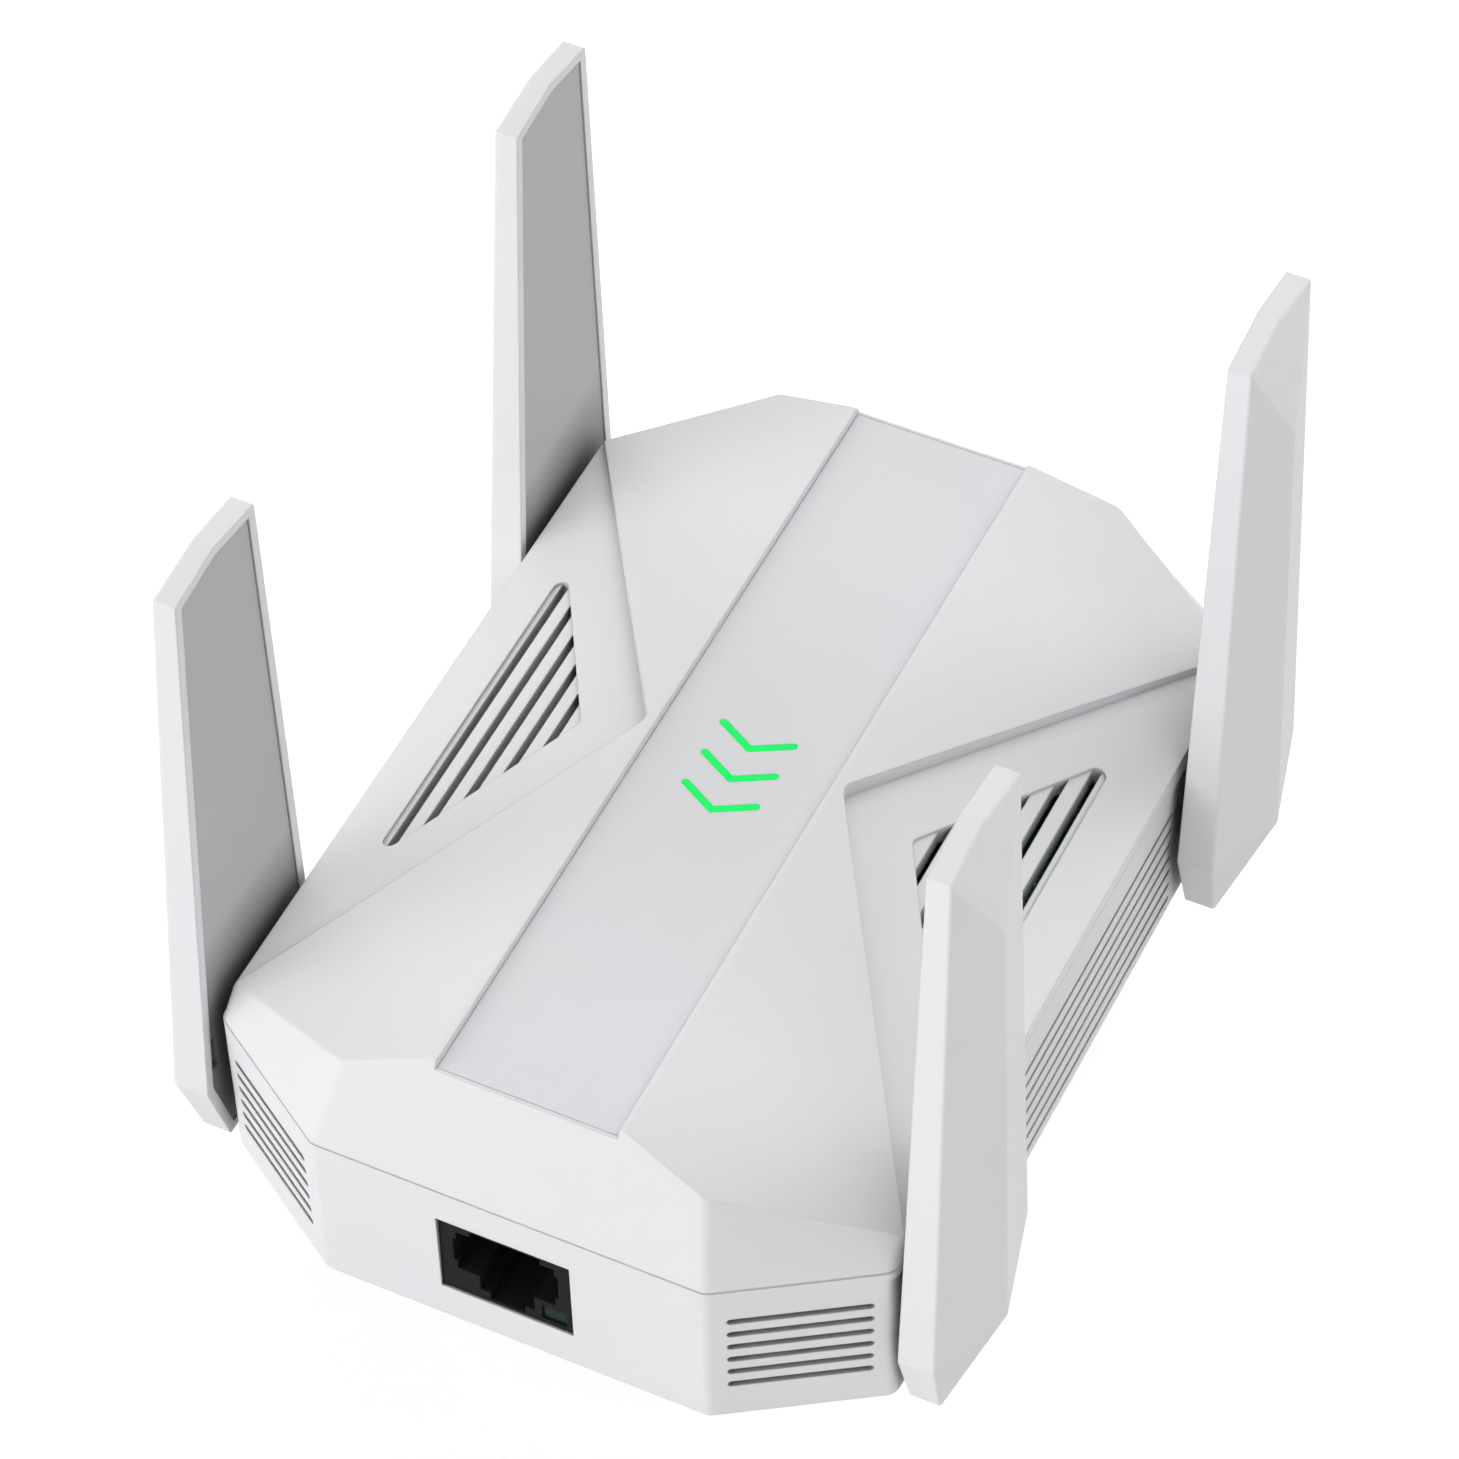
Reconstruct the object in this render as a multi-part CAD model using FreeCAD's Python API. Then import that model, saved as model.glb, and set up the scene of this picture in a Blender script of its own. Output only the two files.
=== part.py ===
# Plug-in wifi range extender: wedge-topped wall body, four blade antennas on
# side hinges, an Ethernet port in the -Y end and mains blades on the back.
# Frame: millimetres, +Z away from the wall, back face on z = 0, origin at the
# centre of the back face, Y along the body. In part names front means -Y
# for the antennas and +Z for the cover; left is -X.
import FreeCAD, Part
import math
import os

Vector = FreeCAD.Vector
os.makedirs("parts", exist_ok=True)

# ------------------------------------------------------------ body dimensions
HALF_LEN = 58.5          # half length of the body at the shell seam
HALF_WID = 40.1          # half width of the body
SEAM_Z = 23.6            # joint between rear housing and front cover
TOP_Z = 37.46            # crest of the two wings
WING_SLOPE = 0.387       # wing fall per mm of width
CREST_X = 11.33          # where the wings start to fall
END_SLOPE = 0.455        # end bevel run per mm of height
END_HALF = 23.2          # half width of the flat end at the seam
SIDE_HALF = 47.5         # half length of the flat side at the seam
DRAFT_LOW = 0.45         # how far the end walls draw in at the back face
TILT = DRAFT_LOW / SEAM_Z
WALL = 2.2               # shell thickness
CORNER_R = 2.0           # rounding of the upright corners

# Corners of the bevel at +X -Y; the other three bevels mirror it
SEAM_AT_END = Vector(END_HALF, -HALF_LEN, SEAM_Z)
SEAM_AT_SIDE = Vector(HALF_WID, -SIDE_HALF, SEAM_Z)
BEVEL_TOP = Vector(21.3, -54.02, 33.44)
BEVEL_OUT = Vector(38.6, -45.1, 26.95)

PANEL_TOP = 36.4         # outer face of the centre panel
PANEL_T = 1.2
PANEL_UNDER = PANEL_TOP - PANEL_T
PANEL_END = 52.3         # half length of the centre panel and its seat
CHAN_HALF = 10.65        # half width of the centre channel
CAP_IN = 33.3            # inner ceiling under the channel

REC_APEX = 11.75         # sharp apex of the side recesses
REC_SLOPE = 0.345        # fall of the recess floor per mm
REC_OUT_Z = 25.45        # height of the recess floor at the side wall
REC_PLAN = 1.60          # recess edge run in Y per mm of X
REC_R = 1.8              # apex rounding

BOARD_Z = 18.6           # underside of the main board
BOARD_T = 1.6
BOARD_TOP = BOARD_Z + BOARD_T
PWR_Z = 5.2              # underside of the power board
PWR_T = 1.6
PWR_TOP = PWR_Z + PWR_T

PIVOT_Y = 37.8           # antenna hinge axes
PIVOT_Z = 9.4
PIVOT_R = 3.4
BOSS_X = HALF_WID - WALL - 1.2   # inner face of the hinge bosses
BOSS_LEN = 2.2

SIGNS = (1, -1)
CORNERS = [(side, end) for side in SIGNS for end in SIGNS]


def paired(x, rows):
    """Points at +x and -x on every row."""
    return [(side * x, y) for y in rows for side in SIGNS]


POST_XY = paired(16.5, (-49.0, 49.0))           # housing screws
STAND_XY = paired(30.5, (22.0, -22.0))          # main board standoffs
PWR_STAND_XY = paired(24.0, (30.0, -27.0))      # power board standoffs


# -------------------------------------------------------------------- helpers
def save(name, shape):
    shape.removeSplitter().exportStep("parts/" + name + ".step")


def box(x0, x1, y0, y1, z0, z1):
    return Part.makeBox(x1 - x0, y1 - y0, z1 - z0, Vector(x0, y0, z0))


def cyl(radius, length, base, axis=(0, 0, 1)):
    return Part.makeCylinder(radius, length, Vector(*base), Vector(*axis))


def cyl_x(radius, length, base):
    return cyl(radius, length, base, (1, 0, 0))


def cyl_y(radius, length, base):
    return cyl(radius, length, base, (0, 1, 0))


def extrude(points, travel):
    return Part.Face(Part.makePolygon(points + [points[0]])).extrude(travel)


def prism_x(points, x0, x1):
    """Extrude a YZ outline along X."""
    return extrude([Vector(x0, y, z) for y, z in points], Vector(x1 - x0, 0, 0))


def round_prism(points, radii, z0, z1):
    """Upright prism with each plan corner rounded by its own radius."""
    count = len(points)
    flat = [Vector(x, y, z0) for x, y in points]
    corners = []         # arc start, arc middle (None if sharp), arc end
    for i, (corner, radius) in enumerate(zip(flat, radii)):
        if radius <= 0:
            corners.append((corner, None, corner))
            continue
        back = (flat[i - 1] - corner).normalize()
        ahead = (flat[(i + 1) % count] - corner).normalize()
        half = math.acos(back.dot(ahead)) / 2
        trim = radius / math.tan(half)
        bisector = (back + ahead).normalize()
        middle = corner + bisector * (radius / math.sin(half) - radius)
        corners.append((corner + back * trim, middle, corner + ahead * trim))
    edges = []
    for i, (start, middle, end) in enumerate(corners):
        if middle is not None:
            edges.append(Part.Arc(start, middle, end).toShape())
        edges.append(Part.LineSegment(end, corners[(i + 1) % count][0]).toShape())
    return Part.Face(Part.Wire(edges)).extrude(Vector(0, 0, z1 - z0))


def round_rect(half_x, half_y, radius, z0, z1):
    points = [(-half_x, -half_y), (half_x, -half_y), (half_x, half_y), (-half_x, half_y)]
    return round_prism(points, [radius] * 4, z0, z1)


def beyond(point, normal):
    """Large block on the outer side of the plane through point."""
    size = 400.0
    block = Part.makeBox(size, size, size, Vector(-size / 2, -size / 2, 0))
    rotation = FreeCAD.Rotation(Vector(0, 0, 1), Vector(normal).normalize())
    block.Placement = FreeCAD.Placement(Vector(point), rotation)
    return block


def carve(shape, planes, offset=0.0):
    """Keep the inner side of every (point, normal) plane, each moved inwards by offset."""
    for point, normal in planes:
        unit = Vector(normal).normalize()
        shape = shape.cut(beyond(Vector(point) - unit * offset, unit))
    return shape


def mirror_x(shape):
    return shape.mirror(Vector(0, 0, 0), Vector(1, 0, 0))


def mirror_y(shape):
    return shape.mirror(Vector(0, 0, 0), Vector(0, 1, 0))


def both_sides(shape):
    return [shape, mirror_x(shape)]


def all_corners(shape):
    return [shape, mirror_x(shape), mirror_y(shape), mirror_x(mirror_y(shape))]


def fuse(items):
    return items[0].fuse(items[1:]).removeSplitter()


def tube(points, radius, bend=1.6):
    """Round wire: straight runs joined by round bends."""
    path = [Vector(*point) for point in points]
    start = path[0]
    parts = []
    for i in range(1, len(path) - 1):
        along = (path[i] - start).normalize()
        leaving = (path[i + 1] - path[i]).normalize()
        angle = math.acos(along.dot(leaving))
        trim = bend * math.tan(angle / 2)
        bend_start = path[i] - along * trim
        axis = along.cross(leaving).normalize()
        centre = bend_start + axis.cross(along) * bend
        section = Part.Face(Part.Wire([Part.makeCircle(radius, bend_start, along)]))
        parts.append(Part.makeCylinder(radius, (bend_start - start).Length, start, along))
        parts.append(section.revolve(centre, axis, math.degrees(angle)))
        start = path[i] + leaving * trim
    along = (path[-1] - start).normalize()
    parts.append(Part.makeCylinder(radius, (path[-1] - start).Length, start, along))
    return fuse(parts)


def soft(shape, radius, pick):
    """Round the edges that pick() chooses; an edge that cannot be rounded stays sharp."""
    edges = [edge for edge in shape.Edges if pick(edge)]
    if not edges:
        return shape
    # guards a fillet of all the edges together that the kernel refuses
    try:
        rounded = shape.makeFillet(radius, edges)
        if rounded.isValid() and rounded.Volume > 0:
            return rounded
    except Exception:
        pass
    for edge in edges:
        # guards single edges that cannot be rounded or no longer exist
        try:
            rounded = shape.makeFillet(radius, [x for x in shape.Edges if x.isSame(edge)])
            if rounded.isValid() and rounded.Volume > 0:
                shape = rounded
        except Exception:
            pass
    return shape


def direction(edge):
    span = edge.Vertexes[-1].Point - edge.Vertexes[0].Point
    return span.normalize() if span.Length > 1e-9 else Vector(0, 0, 0)


def cross_slot(x, y, reach, half, z0, z1):
    """Cross-shaped cutter for a screw head."""
    return fuse([box(x - reach, x + reach, y - half, y + half, z0, z1),
                 box(x - half, x + half, y - reach, y + reach, z0, z1)])


# ------------------------------------------------------------ outer body form
bevel_normal = ((BEVEL_TOP + BEVEL_OUT - SEAM_AT_END - SEAM_AT_SIDE).cross(
    SEAM_AT_SIDE + BEVEL_OUT - SEAM_AT_END - BEVEL_TOP))
if bevel_normal.y > 0:
    bevel_normal = bevel_normal * -1
bevel_normal.normalize()
seam_run = (SEAM_AT_SIDE - SEAM_AT_END).normalize()

SIDE_PLANES = [((side * HALF_WID, 0, 0), (side, 0, 0)) for side in SIGNS]
UPPER_PLANES = (
    [((0, end * HALF_LEN, SEAM_Z), (0, end, END_SLOPE)) for end in (-1, 1)]
    + [((side * CREST_X, 0, TOP_Z), (side * WING_SLOPE, 0, 1)) for side in SIGNS]
    + SIDE_PLANES
)
LOWER_PLANES = (
    [((0, end * HALF_LEN, SEAM_Z), (0, end, -TILT)) for end in (-1, 1)]
    + [((side * SEAM_AT_END.x, end * SEAM_AT_END.y, SEAM_Z),
        (side * seam_run.y, -end * seam_run.x, -TILT)) for side, end in CORNERS]
    + SIDE_PLANES
)


def bevel_cut(offset):
    """Block beyond the slightly twisted +X -Y corner bevel, moved inwards by offset."""
    rows = []
    for rise in (-1.25, 1.6):
        row = []
        for run in (-0.45, 1.45):
            low = SEAM_AT_END + (SEAM_AT_SIDE - SEAM_AT_END) * run
            high = BEVEL_TOP + (BEVEL_OUT - BEVEL_TOP) * run
            row.append(low + (high - low) * rise - bevel_normal * offset)
        rows.append(row)
    sheet = Part.BSplineSurface()
    sheet.buildFromPolesMultsKnots(rows, (2, 2), (2, 2), (0.0, 1.0), (0.0, 1.0),
                                   False, False, 1, 1)
    return sheet.toShape().extrude(bevel_normal * 18)


def upper_form(offset, z0, z1):
    form = carve(box(-60, 60, -80, 80, z0, z1), UPPER_PLANES, offset)
    for cutter in all_corners(bevel_cut(offset)):
        form = form.cut(cutter)
    return form


def lower_form(offset, z0, z1):
    return carve(box(-60, 60, -80, 80, z0, z1), LOWER_PLANES, offset)


def above_floor(shape, side_z):
    """Keep what lies above a recess floor at height side_z on the +X side wall."""
    return shape.cut(beyond((HALF_WID, 0, side_z), (-REC_SLOPE, 0, -1)))


def recess(offset):
    """Wedge that forms the +X side recess, grown by offset."""
    apex = REC_APEX - offset * 1.2
    outer = HALF_WID + 6
    run = (outer - apex) * REC_PLAN
    plan = round_prism([(apex, 0), (outer, -run), (outer, run)],
                       [REC_R + offset, 0, 0], 10, 50)
    return above_floor(plan, REC_OUT_Z - offset * 1.05)


# ---------------------------------------------------------------- front cover
EDGE_R = 0.35            # rounding of the facet edges
WIN_OUT = 34.15          # vent window outer edge
WIN_APEX = 20.1
WIN_PLAN = 1.72          # window edge run in Y per mm of X
WIN_APEX_R = 1.1
WIN_R = 0.95
WIN_DROP = 0.35 * 1.055  # window floor below the recess floor, along Z
SLOT_X = (32.9, 30.25, 27.6, 24.97, 22.33)
SLOT_W = 1.0
SEAM_GAP = 0.10          # height of the shadow gap
GAP_DEPTH = 0.4
LIP_OUT = WALL + 0.15    # locating lip, outer and inner faces
LIP_IN = WALL + 1.35
POST_Z = 21.3            # lower end of the screw posts
POST_R = 3.1
POST_BORE_R = 1.15
POST_BORE_DEPTH = 7.0


def front_cover():
    cover = upper_form(0, SEAM_Z, TOP_Z)
    cover = soft(cover, CORNER_R, lambda edge: abs(direction(edge).z) > 0.6)
    # facet edges above the seam, leaving the two crests sharp
    cover = soft(cover, EDGE_R, lambda edge: edge.BoundBox.ZMin > SEAM_Z + 0.8
                 and not (abs(direction(edge).y) > 0.99
                          and edge.BoundBox.ZMin > TOP_Z - 0.01))
    cavity = upper_form(WALL, SEAM_Z - 1, CAP_IN)
    for wedge in both_sides(recess(WALL)):
        cavity = cavity.cut(wedge)
    cover = cover.cut(cavity)
    for wedge in both_sides(recess(0)):
        cover = cover.cut(wedge)

    # centre channel, panel seat and the opening under the chevrons
    cover = cover.cut(box(-CHAN_HALF, CHAN_HALF, -80, 80, PANEL_TOP, 60))
    cover = cover.cut(box(-CHAN_HALF, CHAN_HALF, -PANEL_END, PANEL_END, PANEL_UNDER, 60))
    cover = cover.cut(box(-6.2, 6.2, -10.7, 5.6, 20, 60))

    # vent windows: a shallow floor, then slots right through
    run = (WIN_OUT - WIN_APEX) * WIN_PLAN
    window = round_prism([(WIN_APEX, 0), (WIN_OUT, -run), (WIN_OUT, run)],
                         [WIN_APEX_R, WIN_R, WIN_R], 10, 50)
    floor = above_floor(window, REC_OUT_Z - WIN_DROP)
    slots = window.common(Part.makeCompound(
        [box(x - SLOT_W / 2, x + SLOT_W / 2, -30, 30, 10, 50) for x in SLOT_X]))
    for cutter in (floor, slots):
        cover = cover.cut(cutter).cut(mirror_x(cutter))

    # shadow gap along the seam
    cover = cover.cut(upper_form(0, SEAM_Z, SEAM_Z + SEAM_GAP).cut(
        upper_form(GAP_DEPTH, SEAM_Z - 1, SEAM_Z + 1)))

    # locating lip inside the seam, kept clear of the vent slots
    lip = upper_form(LIP_OUT, SEAM_Z - 1.6, SEAM_Z + 2.0).cut(
        upper_form(LIP_IN, SEAM_Z - 3, SEAM_Z + 4.0))
    lip = lip.common(lower_form(LIP_OUT, SEAM_Z - 1.6, SEAM_Z + 2.0))
    cover = cover.fuse(lip).cut(slots).cut(mirror_x(slots))

    channel = box(-CHAN_HALF - 0.3, CHAN_HALF + 0.3, -80, 80, PANEL_UNDER - 1.0, 60)
    for x, y in POST_XY:
        post = cyl(POST_R, 20, (x, y, POST_Z)).common(upper_form(0.6, 20, TOP_Z))
        cover = cover.fuse(post.cut(channel))
    for x, y in POST_XY:
        cover = cover.cut(cyl(POST_BORE_R, POST_BORE_DEPTH, (x, y, POST_Z)))
    return cover


save("front_cover", front_cover())

# ------------------------------------------- centre panel and chevron lighting
CHEV_Y = [1.2 - 4.77 * i for i in range(3)]     # vertex of each chevron
CHEV_W = 0.9
CHEV_DX = 4.24           # reach of each arm
CHEV_DY = 2.34
PANEL_CLR = 0.05
GUIDE_UNDER = PANEL_UNDER - 1.4                 # underside of the light guide plate
GUIDE_PIN_Z = BOARD_TOP + 1.3                   # lower end of the light guide pins
LED_Y = [y + 0.6 for y in CHEV_Y]               # one LED and guide pin per chevron


def chevron(vertex_y, width, z0, z1):
    """V-shaped bar pointing to -Y with round ends."""
    tip = (0.0, vertex_y)
    left, right = [(x, vertex_y + CHEV_DY) for x in (-CHEV_DX, CHEV_DX)]
    parts = []
    for start, end in ((left, tip), (tip, right)):
        along = Vector(end[0] - start[0], end[1] - start[1], 0).normalize()
        across = Vector(-along.y, along.x, 0) * (width / 2)
        first, last = Vector(*start, z0), Vector(*end, z0)
        parts.append(extrude([first + across, last + across, last - across, first - across],
                             Vector(0, 0, z1 - z0)))
    for x, y in (left, tip, right):
        parts.append(cyl(width / 2, z1 - z0, (x, y, z0)))
    return fuse(parts)


def centre_panel():
    half = CHAN_HALF - PANEL_CLR
    end = PANEL_END - PANEL_CLR
    panel = upper_form(0, SEAM_Z, TOP_Z).common(
        box(-half, half, -end, end, PANEL_UNDER, PANEL_TOP))
    for y in CHEV_Y:
        panel = panel.cut(chevron(y, CHEV_W, 20, 60))
    return panel


def chevron_guide():
    """Plate under the panel, chevrons rising through it and pins down to the LEDs."""
    parts = [box(-5.9, 5.9, -10.3, 5.1, GUIDE_UNDER, PANEL_UNDER)]
    for y, led_y in zip(CHEV_Y, LED_Y):
        parts.append(chevron(y, CHEV_W - 0.04, PANEL_UNDER - 0.2, PANEL_TOP))
        parts.append(cyl(1.6, GUIDE_UNDER - GUIDE_PIN_Z + 0.2, (0, led_y, GUIDE_PIN_Z)))
    return fuse(parts)


def light_shield():
    shield = box(-5.6, 5.6, -10.0, 4.8, BOARD_TOP, PANEL_UNDER - 1.5)
    for y in LED_Y:
        shield = shield.cut(cyl(1.9, 30, (0, y, BOARD_Z)))
    return shield


save("centre_panel", centre_panel())
save("chevron_guide", chevron_guide())
save("light_shield", light_shield())
save("status_leds", Part.makeCompound(
    [box(-0.8, 0.8, y - 0.5, y + 0.5, BOARD_TOP, BOARD_TOP + 0.8) for y in LED_Y]))

# --------------------------------------------------------------- rear housing
BACK_R = 1.6             # rounding around the back face
SIDE_SLOT_Z = (18.3, 15.81, 13.31, 10.82, 8.32, 5.83, 3.33)
SIDE_SLOT_HALF = 27.0
SIDE_SLOT_W = 0.75
BEVEL_SLOT_Z = [18.2 - 2.3 * i for i in range(6)]
BEVEL_SLOT_IN = 2.25     # slots end this far from the corner face's edges
BEVEL_SLOT_W = 0.92

JACK_HALF = 7.8          # port face
JACK_Z0 = 6.5
JACK_Z1 = 18.55
JACK_X = -0.7            # port centre
JACK_CLR = 0.12

PIVOT_CLR = 0.06
CARRIER_X = 11.5         # half sizes of the opening for the blade carrier
CARRIER_Y = 8.5
CARRIER_R = 2.5

FLOOR_Z = 2.0            # start of bosses and standoffs, inside the back wall
SCREW_HOLE_R = 1.55
SCREW_HEAD_HOLE_R = 2.8
PILOT_R = 1.02           # board screw holes

BUTTON_Z = 12.5
WPS_X = 7.5
RESET_X = -7.5
WPS_HOLE_R = 3.0
RESET_HOLE_R = 1.1
RESET_RING_Y = 54.1      # inner end of the ring behind the reset hole


def side_slots():
    cutters = []
    end = SIDE_SLOT_HALF - SIDE_SLOT_W / 2
    inner = HALF_WID - 5
    for z in SIDE_SLOT_Z:
        slot = box(inner, HALF_WID + 5, -end, end, z - SIDE_SLOT_W / 2, z + SIDE_SLOT_W / 2)
        slot = slot.fuse([cyl_x(SIDE_SLOT_W / 2, 10, (inner, y, z)) for y in (-end, end)])
        cutters += both_sides(slot)
    return cutters


def bevel_slots():
    """Slots drawn along X, then turned onto the slanting corner faces."""
    cutters = []
    rotation = FreeCAD.Rotation(Vector(1, 0, 0), Vector(seam_run.x, seam_run.y, 0))
    start = BEVEL_SLOT_IN + BEVEL_SLOT_W / 2
    end = (SEAM_AT_SIDE - SEAM_AT_END).Length - BEVEL_SLOT_IN - BEVEL_SLOT_W / 2
    for z in BEVEL_SLOT_Z:
        slot = box(start, end, -5, 5, z - BEVEL_SLOT_W / 2, z + BEVEL_SLOT_W / 2)
        slot = slot.fuse([cyl_y(BEVEL_SLOT_W / 2, 10, (x, -5, z)) for x in (start, end)])
        slot.Placement = FreeCAD.Placement(Vector(SEAM_AT_END.x, SEAM_AT_END.y, 0), rotation)
        cutters += all_corners(slot)
    return cutters


def rear_housing():
    rear = lower_form(0, 0, SEAM_Z)
    rear = soft(rear, CORNER_R, lambda edge: abs(direction(edge).z) > 0.9)
    rear = soft(rear, BACK_R, lambda edge: edge.BoundBox.ZMax < 0.01)
    rear = rear.cut(lower_form(WALL, WALL, SEAM_Z + 5))
    rear = rear.cut(Part.makeCompound(side_slots() + bevel_slots()))

    # port opening
    half = JACK_HALF + JACK_CLR
    rear = rear.cut(box(JACK_X - half, JACK_X + half, -80, -50,
                        JACK_Z0 - JACK_CLR, JACK_Z1 + JACK_CLR))

    # hinge bosses and their holes
    for side, end in CORNERS:
        rear = rear.fuse(cyl(5.4, BOSS_LEN, (side * BOSS_X, end * PIVOT_Y, PIVOT_Z),
                             (side, 0, 0)))
    for side, end in CORNERS:
        rear = rear.cut(cyl(PIVOT_R + PIVOT_CLR, 12,
                            (side * (HALF_WID - 8), end * PIVOT_Y, PIVOT_Z), (side, 0, 0)))

    # opening for the blade carrier
    rear = rear.cut(round_rect(CARRIER_X, CARRIER_Y, CARRIER_R, -1, 5))

    # housing screw columns, bored from the back
    for x, y in POST_XY:
        column = cyl(3.4, 19.1, (x, y, FLOOR_Z))
        rear = rear.fuse(column.common(lower_form(0.4, 0, SEAM_Z)))
    for x, y in POST_XY:
        rear = rear.cut(cyl(SCREW_HOLE_R, 40, (x, y, -5)))
        rear = rear.cut(cyl(SCREW_HEAD_HOLE_R, 5.2, (x, y, -1)))

    # board standoffs
    for x, y in STAND_XY:
        rear = rear.fuse(cyl(2.6, BOARD_Z - FLOOR_Z, (x, y, FLOOR_Z)))
        rear = rear.cut(cyl(PILOT_R, 8.0, (x, y, BOARD_Z - 8.0)))
    for x, y in PWR_STAND_XY:
        rear = rear.fuse(cyl(2.4, PWR_Z - FLOOR_Z, (x, y, FLOOR_Z)))
        rear = rear.cut(cyl(PILOT_R, 2.6, (x, y, PWR_Z - 2.2)))

    # button holes in the +Y end wall
    reset_hole = cyl_y(RESET_HOLE_R, 20, (RESET_X, 50, BUTTON_Z))
    rear = rear.cut(cyl_y(WPS_HOLE_R, 20, (WPS_X, 50, BUTTON_Z)))
    rear = rear.cut(reset_hole)
    return rear.fuse(cyl_y(2.4, 2.0, (RESET_X, RESET_RING_Y, BUTTON_Z)).cut(reset_hole))


save("rear_housing", rear_housing())

# --------------------------------------------------------------- mains blades
BLADE_X = 6.35           # blade spacing is twice this
BLADE_W = 6.35
BLADE_T = 1.5
BLADE_L = 17.0
BLADE_HOLE_R = 1.55
CARRIER_CLR = 0.05
CARRIER_TOP = 3.8        # flange top, where the blades narrow to their tails
TAIL_HALF = 1.3


def blade_block(x, grow, half_width, z0, z1):
    """Block the thickness of a blade at x, with grow added on each X face."""
    return box(x - BLADE_T / 2 - grow, x + BLADE_T / 2 + grow, -half_width, half_width, z0, z1)


def blade_carrier():
    carrier = round_rect(CARRIER_X - CARRIER_CLR, CARRIER_Y - CARRIER_CLR,
                         CARRIER_R - CARRIER_CLR, 0.0, WALL)
    carrier = carrier.fuse(box(-13.2, 13.2, -10.2, 10.2, WALL, CARRIER_TOP))
    for side in SIGNS:
        carrier = carrier.cut(blade_block(side * BLADE_X, 0, BLADE_W / 2, -1, 10))
    return carrier


def plug_blade(x):
    def at_tip(edge):
        return edge.BoundBox.ZMax < -BLADE_L + 0.01

    blade = blade_block(x, 0, BLADE_W / 2, -BLADE_L, PWR_TOP + 1.0)
    blade = soft(blade, 1.2, lambda edge: at_tip(edge) and abs(direction(edge).x) > 0.9)
    blade = soft(blade, 0.35, lambda edge: at_tip(edge) and abs(direction(edge).y) > 0.9)
    blade = blade.cut(cyl_x(BLADE_HOLE_R, 10, (x - 5, 0, -BLADE_L + 4.2)))
    # the tail that goes through the power board is narrow
    blade = blade.cut(box(x - 5, x + 5, TAIL_HALF, 9, CARRIER_TOP, 20))
    return blade.cut(box(x - 5, x + 5, -9, -TAIL_HALF, CARRIER_TOP, 20))


save("blade_carrier", blade_carrier())
save("plug_blades", Part.makeCompound([plug_blade(side * BLADE_X) for side in SIGNS]))


# ---------------------------------------------------------------- power board
def on_power_board(x0, x1, y0, y1, z0, z1):
    """Box with z measured from the top of the power board."""
    return box(x0, x1, y0, y1, PWR_TOP + z0, PWR_TOP + z1)


def power_board():
    board = box(-27.4, 27.4, -31, 34, PWR_Z, PWR_TOP)
    for side in SIGNS:
        board = board.cut(blade_block(side * BLADE_X, 0.05, TAIL_HALF + 0.05, 0, 20))
    for x, y in PWR_STAND_XY:
        board = board.cut(cyl(1.1, 10, (x, y, 0)))
    return board


save("power_board", power_board())
save("power_transformer", fuse([
    on_power_board(-9.5, -5.5, 8, 24, 0, 9),
    on_power_board(5.5, 9.5, 8, 24, 0, 9),
    on_power_board(-5.5, 5.5, 8, 24, 7.2, 9),
    on_power_board(-5.5, 5.5, 8, 24, 0, 1.8)]))
save("transformer_winding", soft(on_power_board(-5.4, 5.4, 6.6, 25.4, 1.85, 7.15), 1.6,
                                 lambda edge: abs(direction(edge).y) > 0.9))
# two capacitors lying along Y, two standing up
save("bulk_capacitors", Part.makeCompound(
    [soft(cyl_y(4.0, 12.5, (-17.5, y - 6.3, PWR_TOP + 4.05)), 0.5, lambda edge: True)
     for y in (-20.0, -5.5)]))
save("output_capacitors", Part.makeCompound(
    [soft(cyl(3.1, 9.5, (x, 29.0, PWR_TOP)), 0.4,
          lambda edge: edge.BoundBox.ZMin > PWR_TOP + 1) for x in (10.4, 17.2)]))
save("bridge_rectifier", on_power_board(9.0, 15.5, -24.0, -19.5, 0, 3.0))
save("mains_fuse", cyl_y(1.9, 9.0, (16.5, -12.0, PWR_TOP + 1.9)))
save("choke", cyl(4.2, 7.0, (19.5, 2.5, PWR_TOP)).cut(
    cyl(1.9, 9, (19.5, 2.5, PWR_TOP - 1))))

# ----------------------------------------------------------------- main board
SINK_Z = 2.0             # heat sink base above the board, its underside
FIN_Z = 3.4              # foot of the fins
FIN_TOP = 6.0
FIN_PITCH = 3.2
FIN_T = 0.9
HEADER_Z = BOARD_Z - 2.6     # underside of the board header
HEADER_Y = (35.0, 38.0)


def on_main_board(x0, x1, y0, y1, z0, z1):
    """Box with z measured from the top of the main board."""
    return box(x0, x1, y0, y1, BOARD_TOP + z0, BOARD_TOP + z1)


def main_board():
    board = lower_form(WALL + 2.0, BOARD_Z, BOARD_TOP)
    board = board.common(box(-34.5, 34.5, -54, 53.0, 0, 60))
    for x, y in POST_XY:
        board = board.cut(cyl(3.9, 60, (x, y, 0)))
    for x, y in STAND_XY:
        board = board.cut(cyl(1.2, 60, (x, y, 0)))
    return board


def board_screw(x, y, z):
    """Screw with its head resting at height z."""
    screw = fuse([cyl(1.9, 1.2, (x, y, z)), cyl(1.0, 3.6, (x, y, z - 3.6))])
    return screw.cut(cross_slot(x, y, 1.1, 0.2, z + 0.6, z + 2))


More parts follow.
